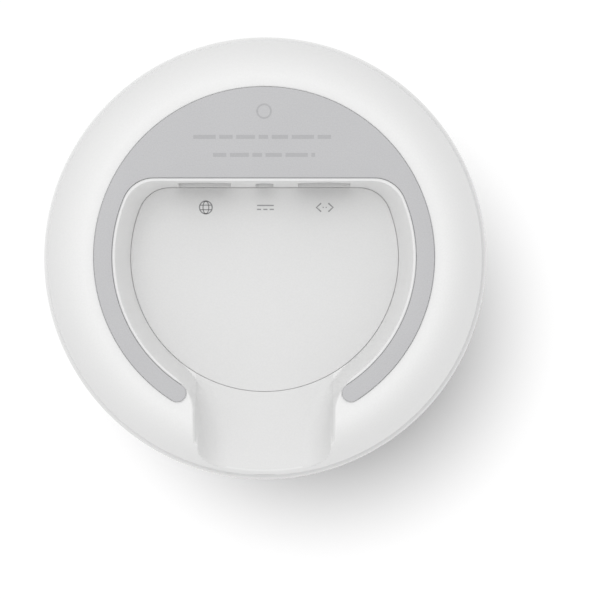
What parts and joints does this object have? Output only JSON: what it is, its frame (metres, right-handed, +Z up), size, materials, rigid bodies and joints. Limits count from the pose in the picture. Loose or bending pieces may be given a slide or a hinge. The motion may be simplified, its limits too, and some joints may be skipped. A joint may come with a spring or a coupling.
{
  "type": "smart home hub",
  "caption": "Round white hub on a grey rubber foot, two network sockets and a power inlet in a bay underneath, a cable notch and a press-in reset button at the back",
  "frame": {"origin": "centre of the rubber foot's underside, where the hub rests", "axes": "+Z up along the hub's axis, +Y towards the cable notch at the back, +X to the right seen from the front"},
  "size_m": [0.106, 0.106, 0.0688],
  "materials": {
    "white_plastic": "fine satin moulded white",
    "diffuser_plastic": "milky translucent",
    "grey_rubber": "matt light grey",
    "black_plastic": "matt black",
    "grey_plastic": "matt dark grey",
    "sheet_metal": "tinned sheet",
    "gold_plate": "gold plated",
    "green_laminate": "solder mask",
    "aluminium": "plain",
    "steel": "dark plated",
    "pad_silicone": "soft blue-grey",
    "ribbon_film": "flat film cable",
    "led_resin": "yellow phosphor resin"
  },
  "bodies": {
    "housing": {"rubber_foot": "grey_rubber", "lower_shell": "white_plastic", "bay_floor_plate": "white_plastic", "light_ring": "diffuser_plastic", "top_shell": "white_plastic", "middle_frame": "grey_plastic", "main_board": "green_laminate", "power_inlet_shell": "sheet_metal", "power_inlet_tongue": "black_plastic", "power_inlet_board": "green_laminate", "processor": "black_plastic", "memory_chip": "black_plastic", "storage_chip": "black_plastic", "power_coil": "grey_plastic", "thermal_pad": "pad_silicone", "heat_sink": "aluminium", "led_board": "green_laminate", "led_ribbon": "ribbon_film", "reset_switch_body": "grey_plastic", "left_jack_body": "black_plastic", "left_jack_contacts": "gold_plate", "left_jack_shield": "sheet_metal", "left_transformer": "black_plastic", "left_shield_can": "sheet_metal", "right_jack_body": "black_plastic", "right_jack_contacts": "gold_plate", "right_jack_shield": "sheet_metal", "right_transformer": "black_plastic", "right_shield_can": "sheet_metal", "antenna_1": "green_laminate", "case_screw_1": "steel", "antenna_2": "green_laminate", "case_screw_2": "steel", "antenna_3": "green_laminate", "case_screw_3": "steel", "antenna_4": "green_laminate", "case_screw_4": "steel", "board_screw_1": "steel", "board_screw_2": "steel", "board_screw_3": "steel", "board_screw_4": "steel", "led_1": "led_resin", "led_2": "led_resin", "led_3": "led_resin", "led_4": "led_resin", "led_5": "led_resin", "led_6": "led_resin"},
    "reset_button": {"reset_button_cap": "white_plastic", "reset_switch_plunger": "black_plastic"}
  },
  "joints": [
    {"name": "reset_press", "type": "slide", "parent": "housing", "child": "reset_button", "axis": [0, -1, 0], "range_m": [0, 0.0006], "stiffness_N_per_m": 2000, "springref_m": -0.0002}
  ]
}
